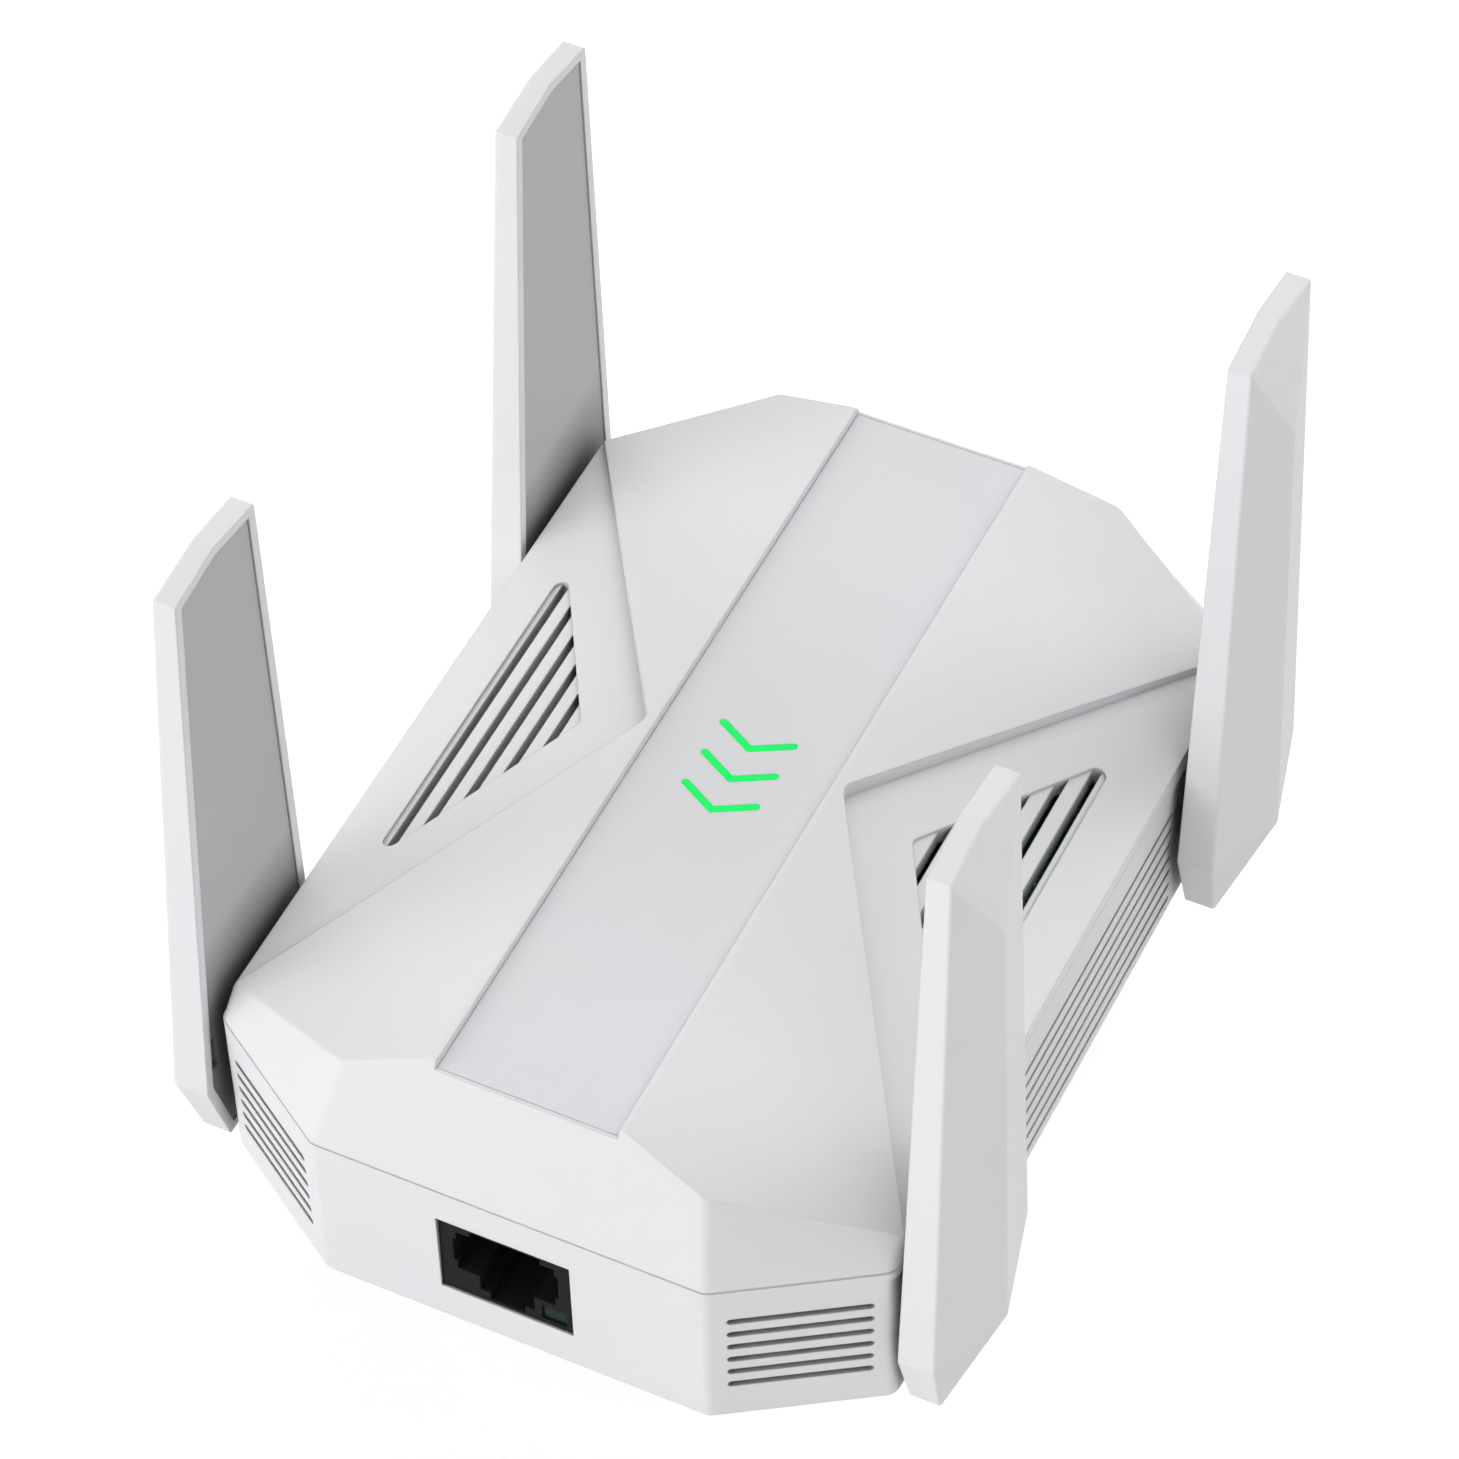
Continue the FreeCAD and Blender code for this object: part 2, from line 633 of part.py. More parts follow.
def heat_sink():
    """Base and cross fins, trimmed to stay clear of the cover."""
    parts = [on_main_board(-26.0, -8.0, -12.0, 12.0, SINK_Z, FIN_Z)]
    for i in range(8):
        y = -11.6 + i * FIN_PITCH
        parts.append(on_main_board(-25.8, -8.2, y, y + FIN_T, FIN_Z, FIN_TOP))
    room = upper_form(WALL + 0.5, SEAM_Z - 5, CAP_IN - 0.3).cut(mirror_x(recess(WALL + 0.5)))
    return fuse(parts).common(room)


def supply_lead(x):
    """Wire from the power board up to the header."""
    foot_y = 32.2
    header_y = sum(HEADER_Y) / 2
    return tube([(x, foot_y, PWR_TOP), (x, foot_y, PWR_TOP + 3.6),
                 (x, header_y, BOARD_Z - 6.4), (x, header_y, HEADER_Z)], 0.5)


save("main_board", main_board())
save("board_screws", Part.makeCompound(
    [board_screw(x, y, BOARD_TOP) for x, y in STAND_XY]
    + [board_screw(x, y, PWR_TOP) for x, y in PWR_STAND_XY]))
save("radio_shield", on_main_board(9.0, 27.0, -14.0, 12.0, 0, 2.6).cut(
    on_main_board(9.2, 26.8, -13.8, 11.8, -1, 2.4)))
save("radio_chips", Part.makeCompound([
    on_main_board(11.0, 20.0, -9.0, 0.0, 0, 1.2),
    on_main_board(12.0, 17.0, 4.0, 9.0, 0, 1.0),
    on_main_board(20.5, 25.5, 3.0, 10.0, 0, 1.0)]))
save("processor", on_main_board(-24.0, -10.0, -7.0, 7.0, 0, 1.4))
save("thermal_pad", on_main_board(-23.0, -11.0, -6.0, 6.0, 1.4, SINK_Z))
save("heat_sink", heat_sink())
save("memory_chips", Part.makeCompound([
    on_main_board(-28.0, -17.0, 16.0, 22.0, 0, 1.0),
    on_main_board(-14.0, -8.0, 16.0, 24.0, 0, 1.0)]))
save("lan_magnetics", box(-6.5, 6.5, -33.0, -26.0, BOARD_Z - 3.2, BOARD_Z))
save("board_header", box(-6.0, 6.0, *HEADER_Y, HEADER_Z, BOARD_Z))
save("supply_leads", Part.makeCompound([supply_lead(-4.5 + 3.0 * i) for i in range(4)]))

# -------------------------------------------------------------- Ethernet jack
JACK_Y = -HALF_LEN + 0.55    # port face
JACK_DEPTH = 21.0
CONTACT_X = [1.02 * (i - 3.5) for i in range(8)]
CONTACT_HALF = 0.18
# stepped plug cavity: half width, bottom, top
JACK_CAVITY = (
    (5.85, JACK_Z0 + 3.9, JACK_Z1 - 1.7),
    (6.25, JACK_Z0 + 5.3, JACK_Z1 - 2.9),
    (4.2, JACK_Z1 - 1.9, JACK_Z1 - 0.85),
    (3.25, JACK_Z0 + 1.55, JACK_Z0 + 4.1),
    (2.05, JACK_Z0 + 0.45, JACK_Z0 + 1.8),
)


def in_jack(x0, x1, y0, y1, z0, z1):
    """Box with y measured inwards from the port face."""
    return box(x0, x1, JACK_Y + y0, JACK_Y + y1, z0, z1)


def ethernet_jack():
    jack = in_jack(-JACK_HALF, JACK_HALF, 0, JACK_DEPTH, JACK_Z0, JACK_Z1)
    jack = jack.cut(fuse([in_jack(-half, half, -1, 13.5, z0, z1)
                          for half, z0, z1 in JACK_CAVITY]))
    # link LED bore, and a small closed pocket on the other side
    jack = jack.cut(in_jack(4.15, 7.05, -1, 15.0, JACK_Z0 + 0.7, JACK_Z0 + 2.9))
    jack = jack.cut(in_jack(-7.05, -4.15, 16, 17, JACK_Z0 + 0.7, JACK_Z0 + 2.9))
    for x in CONTACT_X:
        jack = jack.cut(in_jack(x - 0.2, x + 0.2, 13.0, JACK_DEPTH - 1.9,
                                JACK_Z1 - 1.6, JACK_Z1 - 1.0))
    jack.translate(Vector(JACK_X, 0, 0))
    return jack


def jack_contact(x):
    """Straight tail with a spring finger sloping down towards the port face."""
    # finger profile: y from the port face, z from the top of the jack
    profile = [(11.8, -1.5), (11.8, -1.1), (11.2, -1.1), (3.6, -3.35), (3.75, -3.75)]
    x0, x1 = x - CONTACT_HALF, x + CONTACT_HALF
    contact = fuse([
        in_jack(x0, x1, 11.8, JACK_DEPTH - 2.0, JACK_Z1 - 1.5, JACK_Z1 - 1.1),
        prism_x([(JACK_Y + y, JACK_Z1 + z) for y, z in profile], x0, x1)])
    contact.translate(Vector(JACK_X, 0, 0))
    return contact


save("ethernet_jack", ethernet_jack())
save("jack_contacts", Part.makeCompound([jack_contact(x) for x in CONTACT_X]))
save("link_led", in_jack(JACK_X + 4.2, JACK_X + 7.0, 0.25, 14.9,
                         JACK_Z0 + 0.75, JACK_Z0 + 2.85))

# ---------------------------------------------------------- buttons, switches
BUTTON_WALL_Y = HALF_LEN - TILT * (SEAM_Z - BUTTON_Z)    # outer face of the end wall
WPS_PIN_Y = BUTTON_WALL_Y - WALL - 2.2
RESET_FLANGE_T = 0.7
RESET_FLANGE_Y = RESET_RING_Y - 0.12 - RESET_FLANGE_T
RESET_PIN_Y = RESET_FLANGE_Y - 0.9
WPS_TRAVEL = 0.6
RESET_TRAVEL = 0.5
SWITCH_CLR = 0.02
WPS_SWITCH_Y = WPS_PIN_Y - WPS_TRAVEL - SWITCH_CLR       # plunger tips
RESET_SWITCH_Y = RESET_PIN_Y - RESET_TRAVEL - SWITCH_CLR
SWITCH_DEPTH = 4.3       # plunger tip to back of the switch body
SWITCH_BOARD_Y = RESET_SWITCH_Y - SWITCH_DEPTH


def wps_button():
    button = cyl_y(WPS_HOLE_R - 0.05, 3.6, (WPS_X, BUTTON_WALL_Y - 3.0, BUTTON_Z))
    button = soft(button, 0.35, lambda edge: edge.BoundBox.YMin > BUTTON_WALL_Y)
    button = button.fuse(cyl_y(3.9, 0.8, (WPS_X, BUTTON_WALL_Y - WALL - 0.95, BUTTON_Z)))
    return button.fuse(cyl_y(1.2, 1.4, (WPS_X, WPS_PIN_Y, BUTTON_Z)))


def reset_button():
    stem_y = 53.9
    button = cyl_y(RESET_HOLE_R - 0.05, BUTTON_WALL_Y - 0.4 - stem_y,
                   (RESET_X, stem_y, BUTTON_Z))
    button = button.fuse(cyl_y(2.1, RESET_FLANGE_T, (RESET_X, RESET_FLANGE_Y, BUTTON_Z)))
    return button.fuse(cyl_y(0.9, 1.0, (RESET_X, RESET_PIN_Y, BUTTON_Z)))


def tact_switch(x, y):
    return fuse([box(x - 3.0, x + 3.0, y - SWITCH_DEPTH, y - 0.8,
                     BUTTON_Z - 3.0, BUTTON_Z + 3.0),
                 cyl_y(1.6, 0.9, (x, y - 0.9, BUTTON_Z))])


def wps_switch():
    """Switch with a block that fills the gap back to the switch board."""
    spacer = box(WPS_X - 2.0, WPS_X + 2.0, SWITCH_BOARD_Y, WPS_SWITCH_Y - SWITCH_DEPTH + 0.1,
                 BUTTON_Z - 2.0, BUTTON_Z + 2.0)
    return fuse([tact_switch(WPS_X, WPS_SWITCH_Y), spacer])


save("wps_button", wps_button())
save("reset_button", reset_button())
save("tact_switches", Part.makeCompound([wps_switch(), tact_switch(RESET_X, RESET_SWITCH_Y)]))
save("switch_board", box(-12.0, 12.0, SWITCH_BOARD_Y - 1.2, SWITCH_BOARD_Y, 7.5, BOARD_Z))


# ------------------------------------------------------------- housing screws
def housing_screw(x, y):
    screw = fuse([cyl(2.6, 1.6, (x, y, 2.6)), cyl(1.15, 20.8, (x, y, 4.1))])
    return screw.cut(cross_slot(x, y, 1.6, 0.3, 2.0, 3.2))


save("housing_screws", Part.makeCompound([housing_screw(x, y) for x, y in POST_XY]))

# ------------------------------------------------------------------- antennas
# Drawn upright on the +X side with the hinge axis at y = 0
ANT_X = 41.4             # antenna inner plane
ANT_OUT = ANT_X + 12     # beyond the outermost point
ANT_LEAN = 1.0           # degrees, blade tops towards +Y
APEX_Z = 86.8
SHOULDER = (8.21, 85.5)  # half width, z
WIDEST = (12.17, 11.44)
BOTTOM = (8.5, 0.8)
RIDGE_TOP_Z = 71.0
RIDGE_FOOT_Z = 9.2
RIM = 1.25               # shell rim around the cover pocket
LEAD_R = 0.5


def facet_point(half_width, z):
    """Point on the main facet, on the -Y half."""
    return Vector(49.05 - 0.245 * half_width - 0.034 * z, -half_width, z)


def facet_planes():
    """Planes of the faceted outer face, normals outwards."""
    inside = Vector(ANT_X + 0.5, 0, 45)
    ridge_top = facet_point(0, RIDGE_TOP_Z)
    ridge_foot = facet_point(0, RIDGE_FOOT_Z)
    shoulder = facet_point(*SHOULDER)
    widest = facet_point(*WIDEST)
    apex = Vector(ANT_X + 2.6, 0, APEX_Z)
    bottom = Vector(ANT_X + 3.5, -BOTTOM[0], BOTTOM[1])

    def plane(first, second, third):
        normal = (second - first).cross(third - first)
        if normal.dot(inside - first) > 0:
            normal = normal * -1
        return (first, normal)

    def flip(point, sign):
        return Vector(point.x, point.y * sign, point.z)

    planes = []
    for sign in SIGNS:
        for trio in ((shoulder, ridge_top, ridge_foot), (shoulder, ridge_top, apex),
                     (widest, ridge_foot, bottom)):
            planes.append(plane(*[flip(point, sign) for point in trio]))
    planes.append(plane(ridge_foot, bottom, flip(bottom, -1)))
    return planes


FACETS = facet_planes()


def outline(inset):
    """Blade outline in YZ, moved inwards by inset."""
    points = [(-BOTTOM[0], BOTTOM[1]), BOTTOM, WIDEST, SHOULDER, (0, APEX_Z),
              (-SHOULDER[0], SHOULDER[1]), (-WIDEST[0], WIDEST[1])]
    if inset == 0:
        return points
    lines = []
    for i, point in enumerate(points):
        start = Vector(*point, 0)
        along = (Vector(*points[(i + 1) % len(points)], 0) - start).normalize()
        lines.append((start + Vector(-along.y, along.x, 0) * inset, along))
    moved = []
    for i, (after, after_dir) in enumerate(lines):
        before, before_dir = lines[i - 1]
        gap = after - before
        travel = ((gap.x * after_dir.y - gap.y * after_dir.x)
                  / (before_dir.x * after_dir.y - before_dir.y * after_dir.x))
        moved.append((before.x + before_dir.x * travel, before.y + before_dir.y * travel))
    return moved


def blade_form(inset, start, offset):
    """Faceted blade from start mm off the inner plane, facets moved in by offset."""
    return carve(prism_x(outline(inset), ANT_X + start, ANT_OUT), FACETS, offset)


def at_antenna(x0, x1, y0, y1, z0, z1):
    """Box with x measured outwards from the antenna's inner plane."""
    return box(ANT_X + x0, ANT_X + x1, y0, y1, z0, z1)


def hinge_cyl(radius, length, x):
    """Cylinder on the hinge axis, starting at x."""
    return cyl_x(radius, length, (x, 0, PIVOT_Z))


def antenna_shell():
    blade = soft(blade_form(0, 0, 0.0), 0.45, lambda edge: edge.BoundBox.XMax > ANT_X + 0.1)
    pocket = prism_x(outline(RIM), ANT_X - 1, ANT_X + 1.25)
    shell = blade.cut(blade_form(RIM + 1.2, 1.2, 1.3)).cut(pocket)
    # hinge boss, its bore and the pivot seat
    shell = shell.fuse(hinge_cyl(4.6, 9.0, ANT_X).common(blade_form(0.5, 0, 0.5)))
    shell = shell.cut(hinge_cyl(2.0, 8, ANT_X - 2).common(box(0, ANT_X + 3.2, -9, 9, 0, 90)))
    shell = shell.cut(hinge_cyl(PIVOT_R, 1.3, ANT_X - 0.1))
    # cable exit from the pivot bore up to the board
    shell = shell.cut(at_antenna(2.05, 3.2, -0.8, 0.8, PIVOT_Z, PIVOT_Z + 6))
    ribs = [at_antenna(2.25, 12, -8.0, 8.0, z, z + 1.2).common(blade_form(0.6, 1, 0.6))
            for z in (26.0, 70.0)]
    return shell.fuse(ribs)


def antenna_cover():
    cover = prism_x(outline(RIM + 0.08), ANT_X + 0.15, ANT_X + 1.15)
    cover = cover.cut(hinge_cyl(4.7, 5, ANT_X - 1))
    # pry notch low on one edge
    return cover.cut(at_antenna(-1, 0.75, -12.0, -9.3, 14.0, 19.0))


def antenna_board():
    """Board with raised traces on its outer face."""
    board_x, trace_x = 2.15, 2.25
    # traces: y0, y1, z0, z1
    traces = ((-1.2, 1.2, 20.0, 74.0), (-3.6, -1.9, 42.0, 74.0),
              (1.9, 3.6, 42.0, 74.0), (-3.6, 3.6, 73.0, 75.0))
    return fuse([at_antenna(1.55, board_x, -4.2, 4.2, 18.0, 78.0)]
                + [at_antenna(board_x, trace_x, *trace) for trace in traces])


def antenna_lead():
    """Coax lead inside the blade, from the pivot bore to the board foot."""
    # x from the antenna's inner plane, z from the hinge axis
    path = ((0.6, 0), (2.62, 0), (2.62, 5.5), (2.80, 8.0), (2.80, 13.0))
    return tube([(ANT_X + x, 0, PIVOT_Z + z) for x, z in path], LEAD_R, 1.1)


GROOVE_X = BOSS_X - 1.0  # clip groove around the pivot
GROOVE_R = 2.7
GROOVE_W = 0.9


def hinge_pivot():
    """Hollow pin with a collar between body and blade and a groove for the clip."""
    pivot = hinge_cyl(PIVOT_R, 1.15 + (ANT_X - BOSS_X) + 2.2, BOSS_X - 2.2)
    pivot = pivot.fuse(hinge_cyl(4.9, ANT_X - HALF_WID - 0.12, HALF_WID + 0.12))
    pivot = pivot.cut(hinge_cyl(1.5, 20, HALF_WID - 10))
    return pivot.cut(hinge_cyl(6, GROOVE_W, GROOVE_X).cut(
        hinge_cyl(GROOVE_R, GROOVE_W, GROOVE_X)))


def hinge_clip():
    clip = hinge_cyl(5.0, 0.8, GROOVE_X + 0.05).cut(hinge_cyl(GROOVE_R, 2, GROOVE_X - 0.5))
    return clip.cut(box(GROOVE_X - 1, GROOVE_X + 2, -1.9, 1.9, PIVOT_Z - 8, PIVOT_Z))


# side (sign of X), end (sign of Y)
ANTENNA_TAGS = {(-1, -1): "front_left", (1, -1): "front_right",
                (-1, 1): "rear_left", (1, 1): "rear_right"}
LEANING = {"antenna_shell": antenna_shell(), "antenna_cover": antenna_cover(),
           "antenna_board": antenna_board(), "antenna_lead": antenna_lead()}
UPRIGHT = {"hinge_pivot": hinge_pivot(), "hinge_clip": hinge_clip()}


def place(shape, side, end, lean):
    """Move an antenna part to its hinge; the +Y ones are mirror images of the -Y ones."""
    placed = shape.copy() if end < 0 else mirror_y(shape).copy()
    if lean:
        placed.rotate(Vector(0, 0, PIVOT_Z), Vector(1, 0, 0), -lean)
    placed.translate(Vector(0, end * PIVOT_Y, 0))
    return placed if side > 0 else mirror_x(placed)


def coax_lead(side, end):
    """Lead inside the body, from a pivot to its plug under the main board."""
    x, y = side * 29.5, end * 33.0
    lead = tube([(side * (HALF_WID + 0.6), end * PIVOT_Y, PIVOT_Z),
                 (side * (HALF_WID - 8.4), end * PIVOT_Y, PIVOT_Z),
                 (x, y, BOARD_Z - 5.2), (x, y, BOARD_Z - 1.0)], LEAD_R)
    return fuse([lead, cyl(1.3, 1.6, (x, y, BOARD_Z - 1.6))])


for (side, end), tag in ANTENNA_TAGS.items():
    for parts, lean in ((LEANING, ANT_LEAN), (UPRIGHT, 0)):
        for name, shape in parts.items():
            save(name + "_" + tag, place(shape, side, end, lean))
save("coax_leads", Part.makeCompound([coax_lead(side, end) for side, end in ANTENNA_TAGS]))
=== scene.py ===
# Plug-in wireless unit with four hinged antennas, a centre panel and lit chevrons.
# It lies with its front cover up: +Z is out of the cover, and the floor is in XY.
# The shapes are the CAD pieces; this script gives them finishes, a floor, lights and a camera.
import bpy
import bmesh
import math
from mathutils import Vector, Matrix


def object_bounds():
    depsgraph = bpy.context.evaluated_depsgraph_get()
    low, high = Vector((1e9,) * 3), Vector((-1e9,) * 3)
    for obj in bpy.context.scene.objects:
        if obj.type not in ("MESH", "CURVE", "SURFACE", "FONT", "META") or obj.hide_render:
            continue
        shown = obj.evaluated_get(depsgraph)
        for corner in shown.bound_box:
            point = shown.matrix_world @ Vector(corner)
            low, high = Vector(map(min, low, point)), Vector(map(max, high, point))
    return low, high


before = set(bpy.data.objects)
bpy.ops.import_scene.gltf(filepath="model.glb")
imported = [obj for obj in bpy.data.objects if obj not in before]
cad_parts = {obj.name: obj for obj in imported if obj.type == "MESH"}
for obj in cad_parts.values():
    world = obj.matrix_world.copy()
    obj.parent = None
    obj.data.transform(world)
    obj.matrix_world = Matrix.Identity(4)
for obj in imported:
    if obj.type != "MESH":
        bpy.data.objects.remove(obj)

cad_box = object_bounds()
scene = bpy.context.scene

FLOOR_GAP = 0.0004      # clearance between the lowest point and the floor
FLOOR_HALF = 6.0        # half the side of the square floor
SEAM_Z = 0.0236         # parting line between the two shells
COVER_TOP = (0.0358, 0.0363)    # heights between which the steps by the panel begin


# ------------------------------------------------------------------ node kit
class Graph:
    """Shorthand for building one node tree."""

    def __init__(self, tree, coords):
        self.tree = tree
        self.tree.nodes.clear()
        self.coords = self.add("ShaderNodeTexCoord").outputs[coords]

    def add(self, kind, inputs=None, **attrs):
        node = self.tree.nodes.new(kind)
        for key, value in attrs.items():
            setattr(node, key, value)
        for key, value in (inputs or {}).items():
            self.put(node.inputs[key], value)
        return node

    def put(self, socket, value):
        """Link a socket or set a value; None leaves the input alone."""
        if isinstance(value, bpy.types.NodeSocket):
            self.tree.links.new(value, socket)
        elif value is not None:
            if socket.type == "RGBA" and len(value) == 3:
                value = (*value, 1.0)
            socket.default_value = value

    def math(self, operation, first, second=None):
        return self.add("ShaderNodeMath", {0: first, 1: second}, operation=operation).outputs[0]

    def vmath(self, operation, first, second, out="Vector"):
        node = self.add("ShaderNodeVectorMath", {0: first, 1: second}, operation=operation)
        return node.outputs[out]

    def scale(self, value, by):
        return self.math("MULTIPLY", value, by)

    def invert(self, value):
        return self.math("SUBTRACT", 1.0, value)


class Finish(Graph):
    """Node material in object coordinates, ending in a Principled shader."""

    def __init__(self, name):
        self.material = bpy.data.materials.new("finish_" + name)
        self.material.use_nodes = True
        super().__init__(self.material.node_tree, "Object")

    def stretch(self, by):
        return self.vmath("MULTIPLY", self.coords, by)

    def height(self):
        return self.add("ShaderNodeSeparateXYZ", {"Vector": self.coords}).outputs["Z"]

    def noise(self, scale, detail=3.0, rough=0.55, at=None, distortion=0.0):
        return self.add("ShaderNodeTexNoise", {
            "Vector": at or self.coords, "Scale": scale, "Detail": detail,
            "Roughness": rough, "Distortion": distortion}).outputs["Fac"]

    def voronoi(self, scale, at=None, metric="EUCLIDEAN"):
        return self.add("ShaderNodeTexVoronoi", {"Vector": at or self.coords, "Scale": scale},
                        distance=metric).outputs["Distance"]

    def remap(self, value, span=(0.3, 0.7), to=(0.0, 1.0), smooth=False):
        """Map span onto to; the default span is the range most noise falls in."""
        inputs = dict(enumerate((value, *span, *to)))
        kind = "SMOOTHSTEP" if smooth else "LINEAR"
        return self.add("ShaderNodeMapRange", inputs, interpolation_type=kind).outputs[0]

    def mix(self, factor, base, over, weight=None):
        if weight is not None:
            factor = self.scale(factor, by=weight)
        return self.add("ShaderNodeMix", {0: factor, 6: base, 7: over},
                        data_type="RGBA").outputs[2]

    def bump(self, height, depth, strength, normal):
        return self.add("ShaderNodeBump", {"Height": height, "Distance": depth,
                                           "Strength": strength, "Normal": normal}).outputs[0]

    def soft_edge(self, radius):
        return self.add("ShaderNodeBevel", {"Radius": radius}, samples=3).outputs[0]

    def edge_mask(self, bevel, lean=(0.004, 0.10)):
        """1 on sharp edges, 0 on flats, from how far the rounded normal leans."""
        face = self.add("ShaderNodeNewGeometry").outputs["Normal"]
        match = self.vmath("DOT_PRODUCT", bevel, face, out="Value")
        return self.remap(self.invert(match), span=lean, smooth=True)

    def openness(self, reach):
        return self.add("ShaderNodeAmbientOcclusion", {"Distance": reach}, samples=3).outputs["AO"]

    def finish(self, **inputs):
        shader = self.add("ShaderNodeBsdfPrincipled",
                          {key.replace("_", " "): value for key, value in inputs.items()})
        self.add("ShaderNodeOutputMaterial", {0: shader.outputs[0]})
        return self.material


def graded(tone, gain, lift=0.0):
    return tuple(min(1.0, channel * gain + lift) for channel in tone)


# ------------------------------------------------------------ kinds of finish
COOL_TINT = (0.985, 0.99, 1.0)      # slow drift of moulded plastic, per channel


def moulded(name, tone, rough=0.42, grain=4200.0, grain_depth=0.000010, seed=0.0,
            crevice=0.0022, crevice_dark=0.95, power=2.4, crisp=None, calm=None,
            spec=0.5, wide=None, rim=(0.30, 1.10)):
    """Satin injection moulded plastic: fine grain, slow flow variation, softened and slightly
    glossier edges with a painted edge tone, painted shade in the crevices.

    crevice is the reach of that shade; crisp is a range that replaces its power falloff.
    calm builds a mask that holds it back. wide is reach, power and weight of a broad shade.
    rim is weight and gain of that painted edge tone: a painted highlight where the gain is above
    1, darker edges below it."""
    mat = Finish(name)
    place = mat.vmath("ADD", mat.coords, (seed, seed * 0.7, -seed * 0.4))
    flow = mat.noise(scale=22.0, detail=2.0, rough=0.5, at=place, distortion=0.6)
    cloud = mat.noise(scale=160.0, rough=0.6, at=place)
    fine = mat.noise(scale=grain, detail=2.0, rough=0.62, at=place)
    pits = mat.voronoi(scale=grain * 0.42, at=place)
    peel = mat.noise(scale=520.0, detail=1.0, rough=0.5, at=place)
    bevel = mat.soft_edge(radius=0.00028)
    edges = mat.edge_mask(bevel)

    cool = tuple(channel * tint for channel, tint in zip(tone, COOL_TINT))
    shade = mat.mix(mat.remap(flow, span=(0.35, 0.65), smooth=True), tone, cool)
    shade = mat.mix(mat.remap(cloud, to=(0.0, 0.05)), shade, graded(tone, gain=0.86))
    shade = mat.mix(mat.remap(fine, span=(0.35, 0.65)), shade, graded(tone, gain=0.8),
                    weight=0.035)
    rim_weight, rim_gain = rim
    # painted edge tone from the edge mask: a painted highlight where the gain is above 1
    shade = mat.mix(edges, shade, graded(tone, gain=rim_gain), weight=rim_weight)
    hidden = mat.invert(mat.openness(reach=crevice))
    if crisp:
        hidden = mat.remap(hidden, span=crisp, smooth=True)
    else:
        hidden = mat.math("POWER", hidden, power)
    if calm:
        hidden = mat.math("MULTIPLY", hidden, calm(mat))
    shade = mat.mix(hidden, shade, graded(tone, gain=0.05), weight=crevice_dark)
    if wide:
        wide_reach, wide_power, wide_weight = wide
        lit = mat.math("POWER", mat.openness(reach=wide_reach), wide_power)
        shade = mat.mix(mat.invert(lit), shade, graded(tone, gain=0.12), weight=wide_weight)

    gloss = mat.remap(cloud, to=(rough - 0.035, rough + 0.035))
    gloss = mat.math("SUBTRACT", gloss, mat.scale(edges, by=0.10))
    relief = mat.math("ADD", mat.scale(fine, by=0.65), mat.scale(pits, by=0.5))
    normal = mat.bump(relief, depth=grain_depth, strength=0.55, normal=bevel)
    normal = mat.bump(peel, depth=0.000012, strength=0.25, normal=normal)
    return mat.finish(Base_Color=shade, Roughness=gloss, Normal=normal,
                      Specular_IOR_Level=spec, Coat_Roughness=0.3)


def metal(name, tone, rough, brush, wear, edge=0.00015):
    """Plated or milled metal, brushed along the axis where brush is smallest or differs,
    with clouds of the wear tone and edges lightened as a painted highlight."""
    brush_depth = 0.000004
    mat = Finish(name)
    lines = mat.noise(scale=6.0, detail=4.0, rough=0.6, at=mat.stretch(brush))
    cloud = mat.noise(scale=240.0, detail=4.0, rough=0.6, distortion=0.4)
    across = (brush[0] * 1.7, brush[1] * 0.9, brush[2] * 2.3)
    scratches = mat.noise(scale=5.0, detail=2.0, rough=0.4, at=mat.stretch(across),
                          distortion=1.2)
    bevel = mat.soft_edge(edge)
    edges = mat.edge_mask(bevel)
    shade = mat.mix(mat.remap(lines, to=(0.0, 0.35)), tone, graded(tone, gain=0.72))
    shade = mat.mix(mat.remap(cloud, span=(0.5, 0.75), to=(0.0, 0.25), smooth=True), shade, wear)
    shade = mat.mix(edges, shade, graded(tone, gain=1.25), weight=0.5)
    gloss = mat.remap(lines, to=(rough - 0.06, rough + 0.08))
    gloss = mat.math("ADD", gloss, mat.remap(cloud, span=(0.5, 0.8), to=(0.0, 0.16)))
    normal = mat.bump(lines, depth=brush_depth, strength=0.5, normal=bevel)
    normal = mat.bump(mat.remap(scratches, span=(0.62, 0.66)), depth=brush_depth * 0.6,
                      strength=0.4, normal=normal)
    return mat.finish(Base_Color=shade, Metallic=1.0, Roughness=gloss, Normal=normal)


def speckled(name, tone, fleck, rough, scale=2600.0):
    """Small parts of epoxy, ferrite, ceramic, rubber or tape: grain over a clouded tone."""
    mat = Finish(name)
    grain = mat.noise(scale=scale, detail=4.0, rough=0.65)
    cloud = mat.noise(scale=180.0, rough=0.5)
    cells = mat.voronoi(scale=scale * 0.55)
    bevel = mat.soft_edge(radius=0.00015)
    edges = mat.edge_mask(bevel)
    shade = mat.mix(mat.remap(grain, span=(0.45, 0.7), smooth=True), tone, fleck, weight=0.35)
    shade = mat.mix(mat.remap(cloud, span=(0.35, 0.7), to=(0.0, 0.22)), shade,
                    graded(tone, gain=0.6))
    # edges lightened: a painted highlight
    shade = mat.mix(edges, shade, graded(tone, gain=1.5, lift=0.02), weight=0.35)
    # painted shade in the crevices, darker where a point is less open
    shade = mat.mix(mat.invert(mat.openness(reach=0.0012)), shade, graded(tone, gain=0.25),
                    weight=0.5)
    gloss = mat.remap(grain, to=(rough - 0.07, rough + 0.07))
    relief = mat.math("ADD", grain, mat.scale(cells, by=0.4))
    normal = mat.bump(relief, depth=0.00002, strength=0.45, normal=bevel)
    return mat.finish(Base_Color=shade, Roughness=gloss, Normal=normal)


